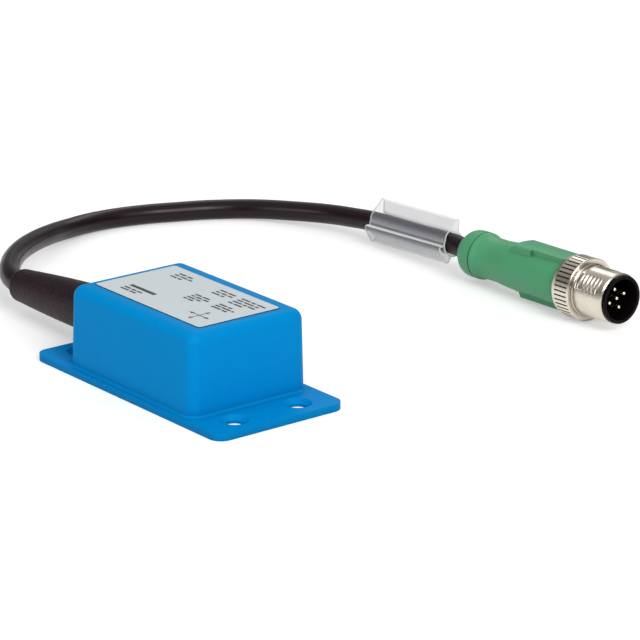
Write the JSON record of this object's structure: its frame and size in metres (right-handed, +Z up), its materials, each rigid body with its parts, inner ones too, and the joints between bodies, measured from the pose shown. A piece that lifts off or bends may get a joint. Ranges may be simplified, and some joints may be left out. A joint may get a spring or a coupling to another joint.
{
  "type": "inclination sensor",
  "caption": "Inclination sensor: drafted housing on a drilled flange plate, short lead with strain relief and clear marker sleeve, round plug with captive knurled coupling screw.",
  "frame": {"origin": "middle of the housing's underside, on the surface that the flange plate is screwed to", "axes": "+X along the housing, away from the end where the lead leaves; +Y across it, towards the side that the lead is laid round to; +Z up, out of the mounting surface"},
  "size_m": [0.1413, 0.124, 0.0202],
  "materials": {
    "housing_blue": "fine satin",
    "resin": "smooth casting",
    "label_film": "matte film",
    "board_green": "solder mask",
    "chip_black": "moulded",
    "metal_can": "drawn",
    "ferrite": "sintered",
    "ceramic_tan": "fired",
    "terminal_brass": "plated",
    "core_insulation": "smooth",
    "boot_rubber": "grainy matte",
    "cable_sheath": "satin",
    "clear_plastic": "clear extrusion",
    "grip_green": "satin moulded",
    "insert_black": "moulded",
    "contact_gold": "gold flash",
    "nickel": "nickel plate"
  },
  "bodies": {
    "sensor": {"housing": "housing_blue", "potting": "resin", "label": "label_film", "circuit_board": "board_green", "tilt_chip": "chip_black", "microcontroller": "chip_black", "line_driver": "chip_black", "voltage_regulator": "chip_black", "storage_capacitor": "metal_can", "filter_choke": "ferrite", "crystal": "metal_can", "suppressor_diode": "chip_black", "small_capacitors": "ceramic_tan", "wire_terminals": "terminal_brass", "core_leads": "core_insulation", "cable_boot": "boot_rubber", "cable": "cable_sheath", "marker_sleeve": "clear_plastic", "plug_body": "grip_green", "plug_leads": "core_insulation", "contact_carrier": "insert_black", "contact_pin_1": "contact_gold", "contact_pin_2": "contact_gold", "contact_pin_3": "contact_gold", "contact_pin_4": "contact_gold", "contact_pin_5": "contact_gold"},
    "coupling": {"coupling_screw": "nickel"}
  },
  "joints": [
    {"name": "coupling_spin", "type": "hinge", "parent": "sensor", "child": "coupling", "pos_m": [0.02686, 0.0995, 0.00766], "axis": [0.9997, 0, 0.0227], "continuous": true}
  ]
}
